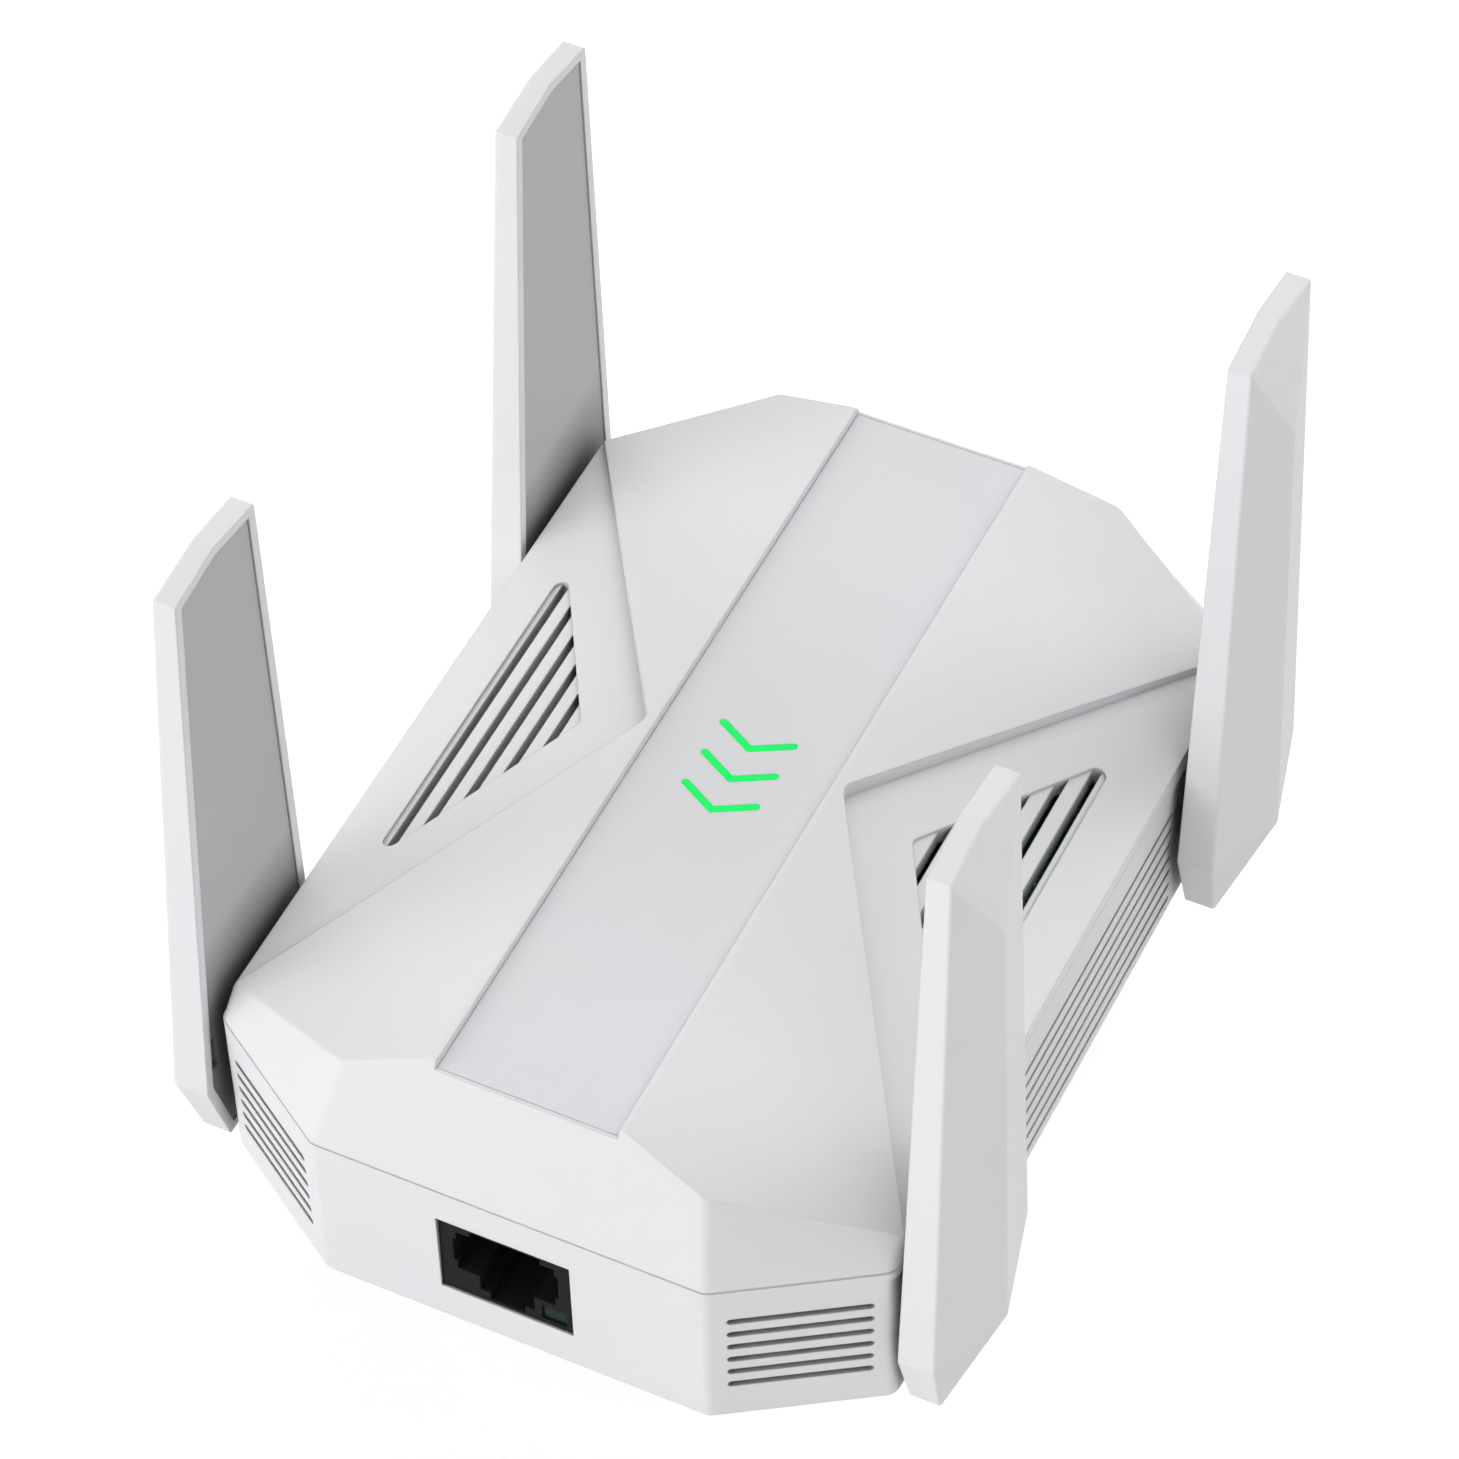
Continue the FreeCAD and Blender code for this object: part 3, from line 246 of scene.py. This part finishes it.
def laminate(name, mask_tone, track_tone, cell=420.0):
    """Circuit board: solder mask over etched tracks, small plated pads, a glass weave."""
    mat = Finish(name)
    flat = mat.stretch((1.0, 1.0, 0.02))
    net = mat.voronoi(scale=cell, at=flat, metric="MANHATTAN")
    patches = mat.voronoi(scale=cell * 0.37, at=flat, metric="CHEBYCHEV")
    fold = 0.5      # folds the net's distance back and forth into parallel tracks
    track = mat.math("PINGPONG", mat.scale(net, by=3.0), fold)
    line = mat.remap(track, span=(0.20, 0.27), smooth=True)
    plane = mat.remap(patches, span=(0.35, 0.37), smooth=True)
    dots = mat.voronoi(scale=cell * 1.6, at=flat)
    pads = mat.remap(dots, span=(0.10, 0.13), to=(1.0, 0.0), smooth=True)
    weave = mat.noise(scale=2400.0, detail=2.0, rough=0.5, at=mat.stretch((1.0, 0.25, 1.0)))
    shade = mat.mix(line, mask_tone, track_tone)
    shade = mat.mix(plane, shade, track_tone, weight=0.35)
    shade = mat.mix(mat.remap(weave, span=(0.4, 0.6)), shade, graded(mask_tone, gain=0.5),
                    weight=0.12)
    pad_tone = (0.72, 0.70, 0.62)
    shade = mat.mix(pads, shade, pad_tone)
    relief = mat.math("ADD", line, mat.scale(pads, by=1.2))
    normal = mat.bump(relief, depth=0.00003, strength=0.6,
                      normal=mat.soft_edge(radius=0.00012))
    return mat.finish(Base_Color=shade, Metallic=mat.scale(pads, by=0.85),
                      Roughness=mat.remap(weave, to=(0.28, 0.42)), Normal=normal,
                      Coat_Weight=0.35, Coat_Roughness=0.2)


def glowing(name, tone, strength, core):
    """Lit light guide: bright along the middle of each bar, a touch deeper at its edges."""
    mat = Finish(name)
    grain = mat.noise(scale=900.0, rough=0.6)
    slow = mat.noise(scale=260.0, detail=2.0, rough=0.5)
    bevel = mat.soft_edge(radius=0.0004)
    edges = mat.edge_mask(bevel, lean=(0.0, 0.12))
    glow = mat.mix(mat.remap(grain, to=(0.0, 0.10)), tone, core)
    glow = mat.mix(edges, glow, graded(tone, gain=0.72), weight=0.55)
    power = mat.scale(mat.remap(slow, to=(0.96, 1.04)), by=strength)
    normal = mat.bump(grain, depth=0.00001, strength=0.3, normal=bevel)
    return mat.finish(Base_Color=graded(tone, gain=0.03), Roughness=0.5, Normal=normal,
                      Specular_IOR_Level=0.12, Emission_Color=glow, Emission_Strength=power)


def calm_seam(mat):
    """Less crevice shade along the parting line between the two shells."""
    away = mat.math("ABSOLUTE", mat.math("SUBTRACT", mat.height(), SEAM_Z))
    return mat.remap(away, span=(0.0007, 0.0013), smooth=True)


def calm_cover(mat):
    """The same, and also on the two steps beside the centre panel."""
    top = mat.remap(mat.height(), span=COVER_TOP, smooth=True)
    return mat.math("MULTIPLY", calm_seam(mat), mat.invert(mat.scale(top, by=0.85)))


# ------------------------------------------------------------------- finishes
WHITE = (0.80, 0.80, 0.812)
BOARD_GREEN = (0.012, 0.085, 0.035)

FINISHES = {
    "shell": moulded("shell_white", WHITE, rough=0.40, power=2.0, calm=calm_cover),
    "rear": moulded("rear_white", WHITE, seed=0.13, crevice=0.0026, crisp=(0.28, 0.74),
                    calm=calm_seam),
    "panel": moulded("panel_white", (0.745, 0.745, 0.762), rough=0.36, grain=5200.0,
                     grain_depth=0.000006, seed=0.31, crevice_dark=0.3),
    "antenna": moulded("antenna_white", WHITE, rough=0.40, seed=0.47),
    "antenna_in": moulded("antenna_grey", (0.50, 0.50, 0.506), rough=0.50, grain=3600.0,
                          grain_depth=0.000012, seed=0.53, wide=(0.0085, 1.7, 0.82),
                          rim=(0.75, 0.55)),
    "hinge": moulded("hinge_white", (0.66, 0.66, 0.67), rough=0.45, seed=0.71),
    "carrier": moulded("plug_carrier", (0.70, 0.70, 0.70), rough=0.5, grain=3000.0, seed=0.83),
    "button": moulded("button", (0.62, 0.63, 0.65), rough=0.38, seed=0.91),
    "button_dark": moulded("button_dark", (0.10, 0.10, 0.105), seed=0.95),
    "jack": moulded("jack_black", (0.014, 0.014, 0.0145), rough=0.45, grain=2600.0,
                    grain_depth=0.000014, seed=1.1, crevice_dark=0.5, spec=0.07),
    "blades": metal("blade_nickel", (0.72, 0.69, 0.62), rough=0.26, brush=(900, 900, 50),
                    wear=(0.52, 0.43, 0.27)),
    "gold": metal("contact_gold", (0.93, 0.68, 0.26), rough=0.2, brush=(700, 60, 700),
                  wear=(0.6, 0.36, 0.12), edge=0.00006),
    "screw": metal("screw_zinc", (0.60, 0.61, 0.63), rough=0.34, brush=(500, 500, 500),
                   wear=(0.36, 0.34, 0.30), edge=0.00012),
    "spring": metal("spring_steel", (0.42, 0.43, 0.45), rough=0.3, brush=(300, 900, 300),
                    wear=(0.25, 0.24, 0.22)),
    "tinned": metal("tinned_can", (0.70, 0.71, 0.72), rough=0.30, brush=(60, 800, 800),
                    wear=(0.50, 0.49, 0.47)),
    "sink": metal("heat_sink", (0.30, 0.31, 0.33), rough=0.42, brush=(40, 900, 900),
                  wear=(0.16, 0.16, 0.17)),
    # boards: mask tone, then track tone
    "board": laminate("main_board", BOARD_GREEN, (0.028, 0.16, 0.062)),
    "power_board": laminate("power_board", (0.26, 0.17, 0.065), (0.36, 0.25, 0.10), cell=260.0),
    "antenna_board": laminate("antenna_board", BOARD_GREEN, (0.03, 0.17, 0.065), cell=500.0),
    # small parts: base tone, then fleck tone
    "chip": speckled("chip_epoxy", (0.022, 0.022, 0.024), (0.07, 0.07, 0.072), rough=0.55),
    "pad": speckled("thermal_pad", (0.34, 0.38, 0.44), (0.5, 0.54, 0.6), rough=0.85),
    "ferrite": speckled("ferrite", (0.055, 0.056, 0.06), (0.16, 0.16, 0.17), rough=0.7,
                        scale=1700.0),
    "tape": speckled("winding_tape", (0.72, 0.47, 0.05), (0.85, 0.62, 0.16), rough=0.35,
                     scale=900.0),
    "sleeve": speckled("capacitor_sleeve", (0.02, 0.028, 0.07), (0.06, 0.08, 0.16), rough=0.3,
                       scale=1300.0),
    "fuse": speckled("fuse_ceramic", (0.62, 0.60, 0.54), (0.75, 0.74, 0.7), rough=0.4,
                     scale=1900.0),
    "lead_red": speckled("supply_lead", (0.42, 0.02, 0.015), (0.6, 0.06, 0.05), rough=0.45),
    "coax": speckled("coax_jacket", (0.03, 0.03, 0.032), (0.09, 0.09, 0.09), rough=0.42),
    "header": speckled("header_nylon", (0.60, 0.57, 0.48), (0.7, 0.68, 0.6), rough=0.5),
    "switch": speckled("switch_black", (0.03, 0.03, 0.032), (0.1, 0.1, 0.1), rough=0.5),
    "shield": speckled("light_shield", (0.016, 0.016, 0.017), (0.05, 0.05, 0.05), rough=0.75),
    "chevrons": glowing("lit_chevrons", (0.010, 0.93, 0.150), strength=1.0,
                        core=(0.045, 0.97, 0.22)),
    "led": glowing("status_led", (0.05, 0.9, 0.25), strength=0.6, core=(0.3, 1.0, 0.5)),
    "link": moulded("link_window", (0.009, 0.026, 0.014), rough=0.30, grain=1500.0, seed=1.4,
                    spec=0.15),
}

FINISH_OF = {
    "front_cover": "shell", "rear_housing": "rear", "centre_panel": "panel",
    "chevron_guide": "chevrons", "light_shield": "shield", "status_leds": "led",
    "blade_carrier": "carrier", "plug_blades": "blades", "power_board": "power_board",
    "board_screws": "screw", "power_transformer": "ferrite", "transformer_winding": "tape",
    "bulk_capacitors": "sleeve", "output_capacitors": "sleeve", "bridge_rectifier": "chip",
    "mains_fuse": "fuse", "choke": "ferrite", "main_board": "board", "radio_shield": "tinned",
    "radio_chips": "chip", "processor": "chip", "thermal_pad": "pad", "heat_sink": "sink",
    "memory_chips": "chip", "lan_magnetics": "chip", "board_header": "header",
    "supply_leads": "lead_red", "ethernet_jack": "jack", "jack_contacts": "gold",
    "link_led": "link", "wps_button": "button", "reset_button": "button_dark",
    "tact_switches": "switch", "switch_board": "board", "housing_screws": "screw",
    "coax_leads": "coax",
}
ANTENNA_PARTS = {
    "antenna_shell": "antenna", "antenna_cover": "antenna_in", "antenna_board": "antenna_board",
    "antenna_lead": "coax", "hinge_pivot": "hinge", "hinge_clip": "spring",
}
for corner in ("front_left", "front_right", "rear_left", "rear_right"):
    for part, finish in ANTENNA_PARTS.items():
        FINISH_OF[f"{part}_{corner}"] = finish

for piece_name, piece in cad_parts.items():
    piece.data.materials.clear()
    piece.data.materials.append(FINISHES[FINISH_OF[piece_name]])


# ---------------------------------------------------------------------- stage
def floor_finish():
    mat = Finish("floor")
    cloud = mat.noise(scale=6.0, rough=0.5)
    shade = mat.mix(mat.remap(cloud), (0.86, 0.86, 0.865), (0.88, 0.88, 0.885))
    # evenly lit to the camera, but throws a little less light back up at the object
    seen = mat.add("ShaderNodeLightPath").outputs["Is Camera Ray"]
    shade = mat.mix(seen, (0.70, 0.70, 0.705), shade)
    # clear from below, so that the underside can be looked at
    under = mat.add("ShaderNodeNewGeometry").outputs["Backfacing"]
    glow = mat.remap(seen, span=(0.0, 1.0), to=(0.12, 0.42))
    return mat.finish(Base_Color=shade, Roughness=0.9, Specular_IOR_Level=0.1,
                      Emission_Color=(1.0, 1.0, 1.0), Emission_Strength=glow,
                      Alpha=mat.invert(under))


def build_floor():
    grid = bmesh.new()
    bmesh.ops.create_grid(grid, x_segments=2, y_segments=2, size=FLOOR_HALF)
    for vert in grid.verts:
        vert.co.z = float(cad_box[0][2]) - FLOOR_GAP
    mesh = bpy.data.meshes.new("studio_floor")
    grid.to_mesh(mesh)
    grid.free()
    floor = bpy.data.objects.new("studio_floor", mesh)
    scene.collection.objects.link(floor)
    mesh.materials.append(floor_finish())


build_floor()

# Soft studio dome: an even base, lifted or flagged off by lobes in level rings.
DOME_BASE = 0.920
DOME_LEAST = 0.06
LOBE_POWER = 4.0        # higher is narrower
# elevation in degrees, then gains evenly spaced around from +X towards +Y
DOME_RINGS = (
    (5, (-1.131, -0.008, 0.561, -1.200, -1.200, 0.909,
         -1.199, 1.800, 1.800, -0.387, -1.200, -0.039)),
    (30, (-1.188, -0.247, 1.800, -0.412, 1.491, -1.199, 1.078, 0.249, -0.802, 1.800)),
    (60, (-0.102, 0.785, 0.513, -1.200, -1.200, 1.257)),
    (90, (-1.200,)),
)


def dome_direction(elevation, turn):
    """Unit vector, from components kept to three places."""
    level = math.cos(elevation)
    parts = (level * math.cos(turn), level * math.sin(turn), math.sin(elevation))
    return Vector([round(part, 3) for part in parts]).normalized()


def build_world():
    world = bpy.data.worlds.new("studio")
    scene.world = world
    world.use_nodes = True
    sky = Graph(world.node_tree, "Generated")
    light = DOME_BASE
    for elevation, gains in DOME_RINGS:
        for i, gain in enumerate(gains):
            toward = dome_direction(math.radians(elevation), math.tau * i / len(gains))
            facing = sky.vmath("DOT_PRODUCT", sky.coords, toward, out="Value")
            facing = sky.math("MAXIMUM", facing, 0.0)
            lobe = sky.scale(sky.math("POWER", facing, LOBE_POWER), by=gain)
            light = sky.math("ADD", lobe, light)
    light = sky.math("MAXIMUM", light, DOME_LEAST)
    background = sky.add("ShaderNodeBackground", {"Strength": light, "Color": (1.0, 1.0, 1.0)})
    sky.add("ShaderNodeOutputWorld", {0: background.outputs[0]})


def softbox(name, at, aim, side, energy):
    """Square area light at one point, turned towards another."""
    lamp = bpy.data.lights.new(name, "AREA")
    lamp.shape = "RECTANGLE"
    lamp.size = lamp.size_y = side
    lamp.energy = energy
    holder = bpy.data.objects.new(name, lamp)
    scene.collection.objects.link(holder)
    holder.location = at
    holder.rotation_euler = (Vector(aim) - Vector(at)).to_track_quat("-Z", "Y").to_euler()


build_world()
softbox("key", at=(-0.55, -0.95, 0.75), aim=(0, 0, 0.02), side=0.7, energy=0.12)

# --------------------------------------------------------------------- camera
AZIMUTH = 0.46333534        # radians, from -Y towards +X
ELEVATION = 0.85377409      # radians above the floor
ROLL = -0.02038698          # radians
FOCAL_MM = 147.4404551
# camera position from the origin, along its own right, up and back
EYE = (-0.0021454895, 0.0268531142, 0.6785700603)


def build_camera():
    back = Vector((math.sin(AZIMUTH) * math.cos(ELEVATION),
                   -math.cos(AZIMUTH) * math.cos(ELEVATION), math.sin(ELEVATION)))
    level_right = Vector((math.cos(AZIMUTH), math.sin(AZIMUTH), 0.0))
    level_up = back.cross(level_right)
    right = math.cos(ROLL) * level_right + math.sin(ROLL) * level_up
    up = -math.sin(ROLL) * level_right + math.cos(ROLL) * level_up
    lens = bpy.data.cameras.new("camera")
    lens.sensor_width = 36.0
    lens.lens = FOCAL_MM
    lens.clip_start = 0.01
    lens.clip_end = 50.0
    camera = bpy.data.objects.new("camera", lens)
    scene.collection.objects.link(camera)
    turn = Matrix((right, up, back)).transposed()
    eye = right * EYE[0] + up * EYE[1] + back * EYE[2]
    camera.matrix_world = Matrix.Translation(eye) @ turn.to_4x4()
    scene.camera = camera


build_camera()
scene.view_settings.view_transform = "Standard"
scene.view_settings.look = "None"
scene.view_settings.exposure = 0.0
scene.view_settings.gamma = 1.0
